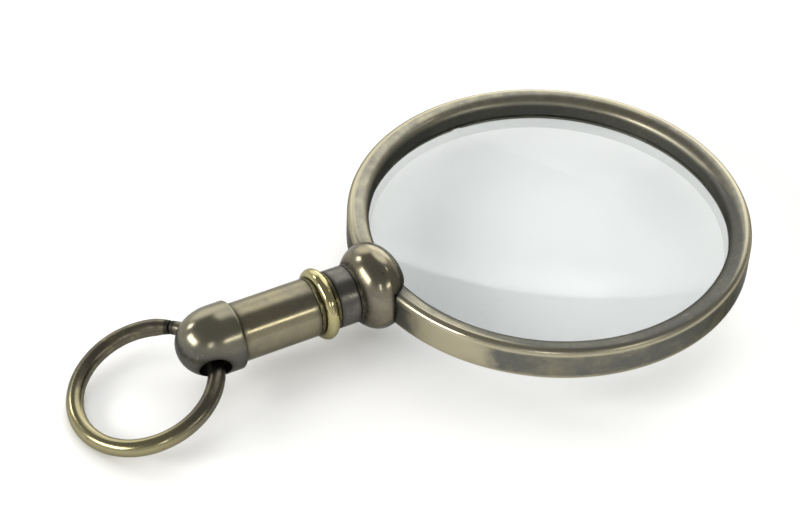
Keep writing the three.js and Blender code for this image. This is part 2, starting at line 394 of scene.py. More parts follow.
# %% [markdown]
# ## Effects of age, each a group
#
# *Tarnish* is brown and grey oxide in soft clouds, with a finer mottle inside them. Two noises of different
# size, one steering the other, look less like a computer than a single one does.


# %% Tarnish
def make_tarnish():
    tree, given, out = group(
        "Tarnish", [("Place", "v"), ("Cloud Size", "f"), ("Cover", "f"), ("Softness", "f")], [("Mask", "f")]
    )
    per_mm = calc(tree, "DIVIDE", 1.0, given["Cloud Size"])
    clouds = noise(tree, given["Place"], per_mm, 3.0, 0.55, 0.6)
    mottle = noise(tree, given["Place"], calc(tree, "MULTIPLY", per_mm, 6.0), 3.0, 0.6)
    both = calc(tree, "ADD", calc(tree, "MULTIPLY", clouds, 0.75), calc(tree, "MULTIPLY", mottle, 0.25))
    edge = calc(tree, "SUBTRACT", 1.0, given["Cover"])
    low = calc(tree, "SUBTRACT", edge, given["Softness"])
    high = calc(tree, "ADD", edge, given["Softness"])
    feed(tree, out["Mask"], ramp(tree, both, low, high))
    return tree


TARNISH = make_tarnish()
print("group", TARNISH.name, "has", len(TARNISH.nodes), "nodes")

# %% [markdown]
# *Crest wear* is metal that hands keep bright on proud edges. It starts from the stored curvature, and a
# noise breaks it up so that no edge is worn evenly.


# %% Crest wear
def make_crest_wear():
    tree, given, out = group(
        "Crest wear", [("Place", "v"), ("Crest", "f"), ("From", "f"), ("To", "f"), ("Uneven", "f")],
        [("Mask", "f")],
    )
    breakup = calc(tree, "SUBTRACT", noise(tree, given["Place"], 0.7, 4.0, 0.6), 0.5)
    uneven = calc(tree, "MULTIPLY", breakup, given["Uneven"])
    feed(tree, out["Mask"], ramp(tree, calc(tree, "ADD", given["Crest"], uneven), given["From"], given["To"]))
    return tree


CREST_WEAR = make_crest_wear()

# %% [markdown]
# *Grime and shade* is what polish and skin leave in the joints and coves, and on the rim and the collar
# also painted shade and a painted shadow. It needs the stored seam mark, and the negative part of the
# curvature.


# %% Grime and painted shade
def make_grime_and_shade():
    tree, given, out = group(
        "Grime", [("Place", "v"), ("Crest", "f"), ("Seam", "f"), ("Amount", "f")], [("Mask", "f")]
    )
    hollow = ramp(tree, calc(tree, "MULTIPLY", given["Crest"], -1.0), 0.15, 1.2)
    deep = calc(tree, "MAXIMUM", hollow, given["Seam"])
    speckle = calc(tree, "MULTIPLY_ADD", noise(tree, given["Place"], 2.5, 4.0, 0.65), 0.9, 0.45)
    settled = calc(tree, "MULTIPLY", deep, speckle)
    feed(tree, out["Mask"], calc(tree, "MULTIPLY", settled, given["Amount"], clamp=True))
    return tree


GRIME_AND_SHADE = make_grime_and_shade()

# %% [markdown]
# *Rubbed and lit side* is a place kept free of tarnish, and partly brightened: the far end and near side
# of the wire ring, the top of the cap, and the rim just beside the collar on the near side. It is partly
# what a thumb or a pocket keeps clean and partly a painted reflection. It is the part of a piece that lies
# furthest in some direction, with a ragged edge.


# %% Rubbed side, partly painted reflection
def make_rubbed_and_lit_side():
    tree, given, out = group(
        "Rubbed and lit side", [("Place", "v"), ("Towards", "v"), ("From", "f"), ("To", "f")], [("Mask", "f")]
    )
    along = tree.nodes.new("ShaderNodeVectorMath")
    along.operation = "DOT_PRODUCT"
    feed(tree, along.inputs[0], given["Place"])
    feed(tree, along.inputs[1], given["Towards"])
    ragged = calc(tree, "MULTIPLY", calc(tree, "SUBTRACT", noise(tree, given["Place"], 0.45, 3.0), 0.5), 0.9)
    reached = calc(tree, "ADD", along.outputs["Value"], ragged)
    feed(tree, out["Mask"], ramp(tree, reached, given["From"], given["To"]))
    return tree


RUBBED_AND_LIT_SIDE = make_rubbed_and_lit_side()

# %% [markdown]
# *Turning marks* are the fine rings that a tool and then a polishing cloth leave round a turned piece. They
# depend only on the distance from the axis and the height along it, so the group throws away the angle. On
# the wire ring the same group gives lines along the wire, as drawing it through a die leaves.


# %% Turning marks
def make_turning_marks():
    tree, given, out = group(
        "Turning marks", [("Place", "v"), ("Spacing", "f")], [("Height", "f"), ("Broad", "f")]
    )
    parts = add(tree, "SeparateXYZ", Vector=given["Place"]).outputs
    squares = [calc(tree, "MULTIPLY", parts[side], parts[side]) for side in "XY"]
    flat = calc(tree, "POWER", calc(tree, "ADD", *squares), 0.5)
    drift = calc(tree, "MULTIPLY", noise(tree, given["Place"], 0.08, 1.0), 0.5)
    where = add(tree, "CombineXYZ", X=calc(tree, "ADD", flat, drift), Y=parts["Z"], Z=0.0).outputs[0]
    per_mm = calc(tree, "DIVIDE", 1.0, given["Spacing"])
    feed(tree, out["Height"], noise(tree, where, per_mm, 3.0, 0.6))
    feed(tree, out["Broad"], noise(tree, where, calc(tree, "MULTIPLY", per_mm, 0.12), 2.0, 0.5))
    return tree


TURNING_MARKS = make_turning_marks()

# %% [markdown]
# *Scratches* are stray hairlines from years in a pocket. A noise that is squeezed hard along one direction
# gives long thin streaks, and keeping only its highest values leaves a few of them. Two sets cross at an
# angle.


# %% Scratches
def make_scratches():
    tree, given, out = group("Scratches", [("Place", "v"), ("Density", "f")], [("Mask", "f")])
    sets = []
    for turn, shift in ((0.5, 0.0), (-0.9, 37.0)):
        bent = add(tree, "Mapping", Vector=given["Place"])
        bent.inputs["Location"].default_value = (shift, shift, shift)
        bent.inputs["Rotation"].default_value = (turn, turn * 0.6, turn * 1.7)
        bent.inputs["Scale"].default_value = (0.22, 5.5, 5.5)
        streak = noise(tree, bent.outputs[0], 1.0, 1.0, 0.4, 0.15)
        gate = noise(tree, given["Place"], 0.35, 2.0)
        edge = calc(tree, "SUBTRACT", 0.86, calc(tree, "MULTIPLY", given["Density"], gate))
        sets.append(ramp(tree, streak, edge, calc(tree, "ADD", edge, 0.05)))
    feed(tree, out["Mask"], calc(tree, "MAXIMUM", *sets))
    return tree


SCRATCHES = make_scratches()

# %% [markdown]
# *Nicks* are the small round dents and pits of old soft brass. Cells of a Voronoi texture scatter them, and
# a random value for each cell leaves most cells empty.


# %% Nicks
def make_nicks():
    tree, given, out = group("Nicks", [("Place", "v"), ("Apart", "f"), ("Share", "f")], [("Mask", "f")])
    cells = add(tree, "TexVoronoi", Vector=given["Place"], Randomness=1.0)
    feed(tree, cells.inputs["Scale"], calc(tree, "DIVIDE", 1.0, given["Apart"]))
    pit = calc(tree, "SUBTRACT", 1.0, ramp(tree, cells.outputs["Distance"], 0.08, 0.2))
    chance = add(tree, "SeparateXYZ", Vector=cells.outputs["Color"]).outputs["X"]
    chosen = calc(tree, "LESS_THAN", chance, given["Share"])
    feed(tree, out["Mask"], calc(tree, "MULTIPLY", pit, chosen))
    return tree


NICKS = make_nicks()

# %% [markdown]
# *Brass colour* stacks the effects the way time does: bare metal, then a film of tarnish over it, then
# grime in the hollows, and last the crests rubbed bright again. On the rim and the collar the grime layer
# also holds painted shade, and where the rim, the cap and the ring are rubbed clean, the clean metal is
# partly a painted reflection.


# %% Brass colour
def make_brass_colour():
    tree, given, out = group(
        "Brass colour",
        [("Metal", "c"), ("Film", "c"), ("Dirt", "c"), ("Bright", "c"),
         ("Tarnish", "f"), ("Grime", "f"), ("Wear", "f")],
        [("Colour", "c")],
    )
    filmed = mix_colour(tree, given["Tarnish"], given["Metal"], given["Film"])
    darkened = mix_colour(tree, given["Grime"], filmed, given["Dirt"])
    feed(tree, out["Colour"], mix_colour(tree, given["Wear"], darkened, given["Bright"]))
    return tree


BRASS_COLOUR = make_brass_colour()
print("groups made:", sorted(g.name for g in bpy.data.node_groups))

# %% [markdown]
# ## The metals
#
# All the metals are one recipe with different settings. Aged brass is a dull mirror: it still reflects the
# room, but only a quarter of the light, and a little blurred. The alternative, a diffuse brown with a glossy
# coat, would look painted. Patterns are laid out in millimetres on the turning axis of each piece, so that
# the turning marks run round it.

# %% Recipe for a metal
MICRON = 1e-6
FILM_THICKNESS = 1.0
SCRATCH_DEPTH = 1.5
PIT_DEPTH = 8.0


def metal(name, axis, bare, film, bright, dirt_and_shade=(0.02, 0.019, 0.016), cloud=2.6, cover=0.5, softness=0.16,
          wear=(0.45, 1.2), worn_share=0.4, rub_and_sheen=((0, 0, 0), 1, 2, 0), rough=0.22, rough_film=0.1,
          spacing=0.18, marks=0.9, grime_and_shade=0.9, nicks=0.05, edge_tint=0.6):
    """A metal with patterns on the given axis frame. Colours are what the metal reflects, head on."""
    made = bpy.data.materials.new(name)
    made.use_nodes = True
    tree = made.node_tree
    shader = tree.nodes["Principled BSDF"]
    shader.inputs["Metallic"].default_value = 1.0
    shader.inputs["Specular Tint"].default_value = (edge_tint, edge_tint, edge_tint, 1)

    place = add(tree, "Mapping", {"vector_type": "TEXTURE"}, Vector=add(tree, "TexCoord").outputs["Object"])
    place.inputs["Location"].default_value = axis.to_translation()
    place.inputs["Rotation"].default_value = axis.to_euler()
    place.inputs["Scale"].default_value = (MM, MM, MM)
    where = place.outputs[0]
    crest = add(tree, "Attribute", {"attribute_name": "crest"}).outputs["Fac"]
    seam_and_shade = add(tree, "Attribute", {"attribute_name": "seam_and_shade"}).outputs["Fac"]

    film_mask = use(tree, TARNISH, Place=where, Cloud_Size=cloud, Cover=cover, Softness=softness)["Mask"]
    # The rubbed side takes off the tarnish and adds a share of bright metal: partly worn places, partly a
    # painted reflection on the rim, the cap and the ring.
    towards, rub_and_sheen_from, rub_and_sheen_to, rub_and_sheen_share = rub_and_sheen
    rubbed_and_lit = use(tree, RUBBED_AND_LIT_SIDE, Place=where, Towards=towards, From=rub_and_sheen_from, To=rub_and_sheen_to)["Mask"]
    film_mask = calc(tree, "MULTIPLY", film_mask, calc(tree, "SUBTRACT", 1.0, rubbed_and_lit))
    worn_and_lit = use(tree, CREST_WEAR, Place=where, Crest=crest, From=wear[0], To=wear[1], Uneven=0.3)["Mask"]
    exposed = calc(tree, "MULTIPLY", calc(tree, "SUBTRACT", 1.0, seam_and_shade), worn_share)
    worn_and_lit = calc(tree, "MULTIPLY", worn_and_lit, exposed)
    worn_and_lit = calc(tree, "MAXIMUM", worn_and_lit, calc(tree, "MULTIPLY", rubbed_and_lit, rub_and_sheen_share))
    # The grime mask is also painted shade where the seam mark holds it, on the rim and the collar.
    darkened = use(tree, GRIME_AND_SHADE, Place=where, Crest=crest, Seam=seam_and_shade, Amount=grime_and_shade)["Mask"]
    turning = use(tree, TURNING_MARKS, Place=where, Spacing=spacing)
    hairlines = use(tree, SCRATCHES, Place=where, Density=0.25)["Mask"]
    pits = use(tree, NICKS, Place=where, Apart=1.1, Share=nicks)["Mask"]

    worn_and_lit = calc(tree, "MAXIMUM", worn_and_lit, calc(tree, "MULTIPLY", hairlines, 0.25))
    colour = use(
        tree, BRASS_COLOUR, Metal=(*bare, 1), Film=(*film, 1), Dirt=(*dirt_and_shade, 1), Bright=(*bright, 1),
        Tarnish=film_mask, Grime=calc(tree, "MAXIMUM", darkened, calc(tree, "MULTIPLY", pits, 0.5)), Wear=worn_and_lit,
    )["Colour"]
    feed(tree, shader.inputs["Base Color"], colour)

    blur = calc(tree, "MULTIPLY_ADD", film_mask, rough_film, rough)
    bands = calc(tree, "SUBTRACT", turning["Broad"], 0.5)
    blur = calc(tree, "ADD", blur, calc(tree, "MULTIPLY", bands, 0.12))
    blur = calc(tree, "ADD", blur, calc(tree, "MULTIPLY", darkened, 0.25))
    blur = calc(tree, "SUBTRACT", blur, calc(tree, "MULTIPLY", worn_and_lit, 0.06), clamp=True)
    feed(tree, shader.inputs["Roughness"], blur)

    height = calc(tree, "MULTIPLY", turning["Height"], marks)
    height = calc(tree, "SUBTRACT", height, calc(tree, "MULTIPLY", hairlines, SCRATCH_DEPTH))
    height = calc(tree, "SUBTRACT", height, calc(tree, "MULTIPLY", pits, PIT_DEPTH))
    height = calc(tree, "ADD", height, calc(tree, "MULTIPLY", film_mask, FILM_THICKNESS))
    bump = add(tree, "Bump", Strength=1.0, Distance=MICRON, Height=height)
    feed(tree, shader.inputs["Normal"], bump.outputs[0])
    print(f"{name}: {len(tree.nodes)} nodes")
    return made


# %% [markdown]
# The rim, the collar, the tube and the cap are the same brass, but each has aged in its own way, so the
# settings differ a little. The neck is almost black with oxide, and the bead, which fingers touch most, is
# the yellowest. The cheap way, one brass for all, would make the handle read as a single casting.

# %% Metals for the pieces
# The rim's rubbed patch lies beside the collar on the near side: partly worn bright, partly a painted
# reflection.
RIM_RUB_AND_SHEEN = math.radians(210)

# The rim's dirt colour also paints shade under the lip, on the near slope and round the collar.
RIM_BRASS = metal(
    "rim brass", ON_RIM, bare=(0.23, 0.212, 0.15), film=(0.125, 0.125, 0.113), bright=(0.46, 0.42, 0.295),
    dirt_and_shade=(0.1, 0.099, 0.088), cloud=7.0, cover=0.56, wear=(0.02, 0.45), worn_share=0.75, rough=0.2,
    rub_and_sheen=((math.cos(RIM_RUB_AND_SHEEN), math.sin(RIM_RUB_AND_SHEEN), 0), 24.1, 24.95, 0.85), spacing=0.22, edge_tint=0.3,
)
KEEPER_BRASS = metal(
    "keeper brass", ON_RIM, bare=(0.15, 0.142, 0.115), film=(0.1, 0.097, 0.085), bright=(0.25, 0.235, 0.18),
    cloud=3.0, cover=0.5, rough=0.35, spacing=0.2,
)
COLLAR_BRASS = metal(
    "collar brass", ON_HANDLE, bare=(0.235, 0.21, 0.145), film=(0.165, 0.155, 0.13), bright=(0.4, 0.36, 0.24),
    cloud=3.4, cover=0.45, rough=0.15, rough_film=0.06, spacing=0.25,
)
NECK_BRASS = metal(
    "neck brass", ON_HANDLE, bare=(0.137, 0.131, 0.112), film=(0.097, 0.093, 0.083), bright=(0.2, 0.19, 0.17),
    cloud=2.6, cover=0.5, rough=0.22, spacing=0.16,
)
BEAD_BRASS = metal(
    "bead brass", ON_HANDLE, bare=(0.38, 0.34, 0.175), film=(0.26, 0.235, 0.135), bright=(0.5, 0.45, 0.25),
    dirt_and_shade=(0.03, 0.028, 0.018), cloud=2.4, cover=0.36, rough=0.11, rough_film=0.06, nicks=0.03,
)
TUBE_BRASS = metal(
    "tube brass", ON_HANDLE, bare=(0.23, 0.205, 0.135), film=(0.165, 0.15, 0.12), bright=(0.4, 0.36, 0.24),
    cloud=4.0, cover=0.45, rough=0.18, rough_film=0.08,
)
# The cap is left free of tarnish on its top: partly rubbed clean, partly a painted reflection.
CAP_BRASS = metal(
    "cap brass", ON_HANDLE, bare=(0.225, 0.208, 0.15), film=(0.1, 0.097, 0.085), bright=(0.33, 0.3, 0.21),
    cloud=3.4, cover=0.78, rough=0.2, rough_film=0.08, rub_and_sheen=((1, 0, -0.1), -3.9, -1.4, 0),
    spacing=0.24, worn_share=0.12,
)
# The ring is lighter towards its far end and its near side: partly rubbed clean, partly a painted reflection.
WIRE_BRASS = metal(
    "wire brass", ON_RING, bare=(0.265, 0.238, 0.135), film=(0.118, 0.106, 0.08), bright=(0.42, 0.38, 0.22),
    cloud=3.0, cover=0.62, wear=(0.62, 1.3), rough=0.2, rub_and_sheen=((-0.85, -0.52, 0), 1.0, 8.0, 0.1), nicks=0.12,
)
SCREW_STEEL = metal(
    "screw steel", ON_HANDLE, bare=(0.42, 0.42, 0.43), film=(0.2, 0.19, 0.18), bright=(0.6, 0.6, 0.6),
    cloud=1.4, cover=0.35, rough=0.3, spacing=0.1,
)

# %% [markdown]
# ## The glass
#
# The lens is a polished biconvex glass with a ground edge. It bends the light, so the shader is a full
# transmission with the glass's own index, not a see-through film. Real glass is faintly green-grey in this
# thickness; the tint here is much darker than that, and the rest is painted shade, for the shadow that the
# lens doesn't cast on the floor under it. The edge is matt where it was ground to size: a number stored on
# its points says where.


# %% Glass
def make_glass():
    made = bpy.data.materials.new("lens glass")
    made.use_nodes = True
    tree = made.node_tree
    shader = tree.nodes["Principled BSDF"]
    shader.inputs["Transmission Weight"].default_value = 1.0
    shader.inputs["IOR"].default_value = 1.52
    where = add(tree, "Mapping", {"vector_type": "TEXTURE"}, Vector=add(tree, "TexCoord").outputs["Object"])
    where.inputs["Location"].default_value = ON_RIM.to_translation()
    where.inputs["Scale"].default_value = (MM, MM, MM)
    ground = add(tree, "Attribute", {"attribute_name": "ground"}).outputs["Fac"]
    haze = ramp(tree, noise(tree, where.outputs[0], 0.12, 4.0, 0.6, 0.8), 0.35, 0.75)
    hairlines = use(tree, SCRATCHES, Place=where.outputs[0], Density=0.16)["Mask"]
    # Painted shade: the dark grey tint stands in for the shadow the lens would cast on the floor under it.
    shaded_tint = mix_colour(tree, haze, (0.665, 0.69, 0.696, 1), (0.645, 0.672, 0.68, 1))
    feed(tree, shader.inputs["Base Color"], mix_colour(tree, ground, shaded_tint, (0.62, 0.66, 0.65, 1)))
    blur = calc(tree, "MULTIPLY_ADD", haze, 0.012, 0.002)
    blur = calc(tree, "ADD", blur, calc(tree, "MULTIPLY", hairlines, 0.05))
    feed(tree, shader.inputs["Roughness"], calc(tree, "MULTIPLY_ADD", ground, 0.5, blur, clamp=True))
    return made


LENS_GLASS = make_glass()
print("glass index", LENS_GLASS.node_tree.nodes["Principled BSDF"].inputs["IOR"].default_value)

# %% [markdown]
# ## The rim
#
# One turned ring holds the glass: a plain band outside, a lip that reaches in over the glass, and a bore
# open at the bottom. It could be a cylinder with a hole, but the top is what catches the light: a tight
# round outside and a long soft slope inside, which meet in a crest. Both are arcs in the outline. The wall
# inside the lip, which no cloth reaches, is darkened as grime and as painted shade under the lip. The foot
# of the slope is darkened too, widest on the near side, towards the camera: that is painted shade. Round
# the collar the rim is darkened as a painted shadow of the ball, with grime in the joint. All these are
# stored in the seam mark.

# %% Turn the rim
lens_low, lens_high = box_mm("lens")
keeper_low, keeper_high = box_mm("keeper_ring")
lens_radius = (lens_high.x - lens_low.x) / 2
BORE_GAP = 0.2
LIP_OVERLAP = 0.7
LIP_THICKNESS = 2.49
TOP_ROUND = 0.85
LIP_SLOPE = 1.2
FOOT_ROUND = 0.3
INNER_CORNER = 0.2
# Painted shade: the darkened foot of the slope widens by up to this much towards the near side.
NEAR_SHADE_WIDTH = 2.3
COLLAR_REACH = 5.35
COLLAR_FADE = 4
RIM_STEPS = 288

bore_radius = lens_radius + BORE_GAP
lip_radius = lens_radius - LIP_OVERLAP
crest_radius = rim_radius - TOP_ROUND
lip_underside = rim_height - LIP_THICKNESS


def make_rim():
    slope_foot = rim_height - LIP_SLOPE
    slope = arc((crest_radius, slope_foot), crest_radius - lip_radius, 90, 180, 18, rise=LIP_SLOPE)
    profile = [
        (bore_radius + INNER_CORNER, 0),
        *arc((rim_radius - FOOT_ROUND, FOOT_ROUND), FOOT_ROUND, -90, 0, 5),
        *arc((crest_radius, rim_height - TOP_ROUND), TOP_ROUND, 0, 90, 12),
        *slope[1:],
        (lip_radius, lip_underside),
        (bore_radius, lip_underside),
        (bore_radius, INNER_CORNER),
    ]
    bm = turned(profile, steps=RIM_STEPS)
    collar_at = Vector((-rim_radius, 0, rim_height / 2))

    # Distance to the darkened places: the wall under the lip (grime and painted shade), the foot of the
    # slope, widened towards the near side as painted shade, and the rim round the collar, a painted shadow of
    # the ball with grime in the joint.
    def from_dark(place):
        from_collar = ((place - collar_at).length - COLLAR_REACH) / COLLAR_FADE
        out = math.hypot(place.x, place.y)
        if place.z < slope_foot and out < bore_radius + INNER_CORNER / 2:
            return 0.0
        # Painted shade: wider towards the near side, -Y, which faces the camera.
        near_shade_width = NEAR_SHADE_WIDTH * max(0.0, -place.y / out)
        beyond = max(0.0, out - lip_radius - near_shade_width)
        down = rim_height - place.z if out > crest_radius or place.z < slope_foot else 0.0
        return min(from_collar, math.hypot(beyond, down))

    mark(bm, from_dark, reach=0.4)
    return piece("rim", bm, ON_RIM, "lens_and_handle", RIM_BRASS, "rim_band")


make_rim()

# %% [markdown]
# ## The glass in it
#
# Each face is part of a large sphere. The outline needs the sphere's radius, which follows from how far the
# face rises over the glass's width. A thin chamfer breaks each edge, as an optician grinds it.

# %% Turn the glass
EDGE_THICKNESS = 0.8
EDGE_CHAMFER = 0.12
GLASS_STEPS = 192

lens_thickness = lens_high.z - lens_low.z
face_rise = (lens_thickness - EDGE_THICKNESS) / 2
sphere_radius = (lens_radius**2 + face_rise**2) / (2 * face_rise)
lens_middle = (lens_low.z + lens_high.z) / 2 - rim_foot_z
print(f"each face is ground to a sphere of radius {sphere_radius:.1f} mm")


def make_glass_blank():
    half_angle = math.degrees(math.asin((lens_radius - EDGE_CHAMFER) / sphere_radius))
    offset = sphere_radius - lens_thickness / 2
    upper = arc((0, lens_middle - offset), sphere_radius, 90, 90 - half_angle, 40)
    lower = [(r, 2 * lens_middle - z) for r, z in upper]
    edge = EDGE_THICKNESS / 2 - EDGE_CHAMFER
    sides = [(lens_radius, lens_middle - edge), (lens_radius, lens_middle + edge)]
    bm = turned([*lower, *sides, *reversed(upper)], closed=False, steps=GLASS_STEPS, longest=1.0)
    ground = bm.verts.layers.float.new("ground")
    for v in bm.verts:
        v[ground] = 1.0 if math.hypot(v.co.x, v.co.y) > lens_radius - EDGE_CHAMFER / 2 else 0.0
    glass = piece("lens_glass", bm, ON_RIM, "lens_and_handle", LENS_GLASS, "lens")
    # The lens casts no shadow; its dark tint paints that shade in instead.
    glass.visible_shadow = False
    return glass


make_glass_blank()

# %% [markdown]
# ## The keeper ring
#
# Under the glass a thin threaded ring, screwed in with a two-pronged key, holds it up against the lip. Its
# two notches take the key. A flat ring is spun from one edge, thickened by extruding, and only the faces
# between the notches are extruded a second time.

# %% Make the keeper ring
KEEPER_WIDTH = 0.7
NOTCH_DEPTH = 0.3
NOTCH_WIDTH = 1.2
KEEPER_BREAK = 0.07
KEEPER_STEPS = 240

keeper_radius = (keeper_high.x - keeper_low.x) / 2
keeper_thickness = keeper_high.z - keeper_low.z


def grow(bm, faces, height):
    """Extrude faces straight up or down, and return the new ones."""
    edges = list({e for f in faces for e in f.edges})
    grown = bmesh.ops.extrude_face_region(bm, geom=[*faces, *edges])["geom"]
    fresh = [part for part in grown if isinstance(part, bmesh.types.BMFace)]
    bmesh.ops.translate(bm, vec=(0, 0, height), verts=list({v for f in fresh for v in f.verts}))
    return fresh


def make_keeper():
    bm = bmesh.new()
    top = keeper_high.z - rim_foot_z
    ends = [bm.verts.new((r, 0, top)) for r in (keeper_radius - KEEPER_WIDTH, keeper_radius)]
    edge = bm.edges.new(ends)
    spin(bm, [*ends, edge], FULL_TURN, KEEPER_STEPS)
    under_notches = grow(bm, bm.faces[:], NOTCH_DEPTH - keeper_thickness)
    between = [f for f in under_notches if abs(f.calc_center_median().x) > NOTCH_WIDTH / 2]
    grow(bm, between, -NOTCH_DEPTH)
    bmesh.ops.recalc_face_normals(bm, faces=bm.faces)
    print("eased", ease(bm, lambda e: True, KEEPER_BREAK), "edges of the keeper ring")
    mark(bm)
    return piece("keeper", bm, ON_RIM, "lens_and_handle", KEEPER_BRASS, "keeper_ring")


make_keeper()

# %% [markdown]
# ## The ball collar
#
# A ball, a little flattened along the handle, joins the rim to the neck through a small cove. It is turned
# whole, tapped for the long screw, and then slotted so that it straddles the rim. The slot is the rim's own
# outline with a hair's clearance.

# %% Turn and slot the collar
collar_low, collar_high = box_mm("ball_collar")
neck_low, neck_high = box_mm("neck_sleeve")
COLLAR_INSET = 0.12
COLLAR_HALF_LENGTH = 3.72
COVE = 0.45
CLEARANCE = 0.05
BORE = 1.5
DRILL_START = 9

collar_radius = (collar_high.z - collar_low.z) / 2
collar_centre = rim_radius - COLLAR_INSET
collar_end = station(collar_low.x)


def make_collar():
    meets = math.degrees(math.acos((collar_end - COVE - collar_centre) / COLLAR_HALF_LENGTH))
    ball = arc((0, collar_centre), collar_radius, -90, 90 - meets, 56, rise=COLLAR_HALF_LENGTH)
    ball[0] = (0, ball[0][1])
    shoulder = ball[-1]
    cove = [(handle_radius + (shoulder[0] - handle_radius) * (1 - t) ** 2, shoulder[1] + COVE * t)
            for t in (0.25, 0.5, 0.75, 1.0)]
    blank = turned([*ball, *cove, (0, collar_end)], closed=False, steps=144, longest=0.35)
    drill = rod(BORE, collar_centre - DRILL_START, collar_end + 1, 64)
    saw = rod(rim_radius + CLEARANCE, -CLEARANCE, rim_height + CLEARANCE, RIM_STEPS)
    rim_to_handle = ON_HANDLE.inverted() @ ON_RIM
    bmesh.ops.transform(saw, matrix=rim_to_handle, verts=saw.verts)
    bm = cut_away(blank, drill, saw)

    # The slot mark is partly grime in the joint and partly a painted shadow where the ball meets the rim. The
    # cove by the neck is grime.
    def by_slot(place):
        on_rim = rim_to_handle.inverted() @ place
        above = max(-on_rim.z, on_rim.z - rim_height, 0.0)
        outside = max(math.hypot(on_rim.x, on_rim.y) - rim_radius, 0.0)
        in_cove = max(0.0, collar_end - 1.3 * COVE - place.z)
        return min(math.hypot(above, outside), in_cove)

    mark(bm, by_slot)
    return piece("collar", bm, ON_HANDLE, "lens_and_handle", COLLAR_BRASS, "ball_collar")


make_collar()

# %% [markdown]
# ## The stack behind it: neck, bead and tube
#
# Three turned pieces are threaded on the long screw. The neck is a plain sleeve. The bead has a half-round
# with a cove on each side, and a spigot that centres the tube. The tube is plain outside. Their ends are
# barely broken, so the joints show as thin dark lines.

# %% Turn the neck
END_BREAK = 0.1


def sleeve(inner, outer, start, end):
    """Outline of a plain sleeve with its outer end edges broken."""
    return [
        (inner, start),
        *arc((outer - END_BREAK, start + END_BREAK), END_BREAK, -90, 0, 4),
        *arc((outer - END_BREAK, end - END_BREAK), END_BREAK, 0, 90, 4),
        (inner, end),
    ]


neck_start, neck_end = station(neck_high.x), station(neck_low.x)
neck = turned(sleeve(BORE, handle_radius, neck_start, neck_end), steps=128, longest=0.3)
mark(neck, seams_at(neck_start, neck_end), reach=0.22)
piece("neck", neck, ON_HANDLE, "lens_and_handle", NECK_BRASS, "neck_sleeve")

# %% Turn the bead
bead_low, bead_high = box_mm("bead_ring")
BEAD_ROUND = 0.85
BEAD_BREAK = 0.06
BEAD_COVE = 0.08
TUBE_WALL = 0.7
SPIGOT_GAP = 0.05

bead_radius = (bead_high.z - bead_low.z) / 2
bead_start, spigot_end = station(bead_high.x), station(bead_low.x)
tube_start, tube_end = station(tube_high.x), station(tube_low.x)
bead_end = tube_start - CLEARANCE
bead_middle = (bead_start + bead_end) / 2
spigot_radius = handle_radius - TUBE_WALL - SPIGOT_GAP


def make_bead():
    rise = bead_radius - handle_radius
    half_round = arc((handle_radius, bead_middle), rise, -90, 90, 22, rise=BEAD_ROUND)
    bm = turned([
        (BORE, bead_start),
        (handle_radius - BEAD_BREAK, bead_start),
        (handle_radius, bead_start + BEAD_BREAK),
        *half_round,
        (handle_radius, bead_end - BEAD_BREAK),
        (handle_radius - BEAD_BREAK, bead_end),
        (spigot_radius, bead_end),
        (spigot_radius, spigot_end),
        (BORE, spigot_end),
    ], steps=144, longest=0.25)
    grimy_radius = handle_radius + BEAD_COVE
    mark(bm, lambda place: max(0.0, math.hypot(place.x, place.y) - grimy_radius), reach=0.1)
    return piece("bead", bm, ON_HANDLE, "lens_and_handle", BEAD_BRASS, "bead_ring")


make_bead()

# %% Turn the tube
tube = turned(sleeve(handle_radius - TUBE_WALL, handle_radius, tube_start, tube_end), steps=144, longest=0.4)
mark(tube, seams_at(tube_start, tube_end), reach=0.28)
piece("tube", tube, ON_HANDLE, "lens_and_handle", TUBE_BRASS, "handle_tube")

# %% [markdown]
# ## The domed cap
#
# The cap is a hollow bullet with a short straight skirt. It screws over the tube's end, and the ring passes
# through a hole drilled across it. The outline runs from the inner tip, out round the mouth, and back to
# the outer tip. Inside, a barrel-shaped relief gives the wire room to swing.

# %% Turn, drill and relieve the cap
cap_low, cap_high = box_mm("end_cap")
joint = frame["joints"][0]
CAP_WALL = 0.7
CAP_SKIRT = 2.15
CAP_FULLNESS = 0.92
CAP_EDGE = 0.4
MOUTH_BREAK = 0.12
HOLE_RADIUS = 1.8
HOLE_BREAK = 0.1
HOLE_DROP = 0.95
SWING_GAP = 0.1

cap_radius = (cap_high.y - cap_low.y) / 2
cap_mouth, cap_tip = station(cap_high.x), station(cap_low.x)
dome_start = cap_mouth + CAP_SKIRT
dome_length = cap_tip - dome_start
pivot = Vector(joint["pos_m"]) / MM
pivot_station = station(pivot.x)
pivot_drop = pivot.z - handle_axis_z


def dome(radius, length, steps):
    quarter = arc((0, 0), 1, 0, 90, steps)
    points = [(radius * max(0.0, out) ** CAP_FULLNESS, dome_start + length * up) for out, up in quarter]
    points[-1] = (0, points[-1][1])
    return points


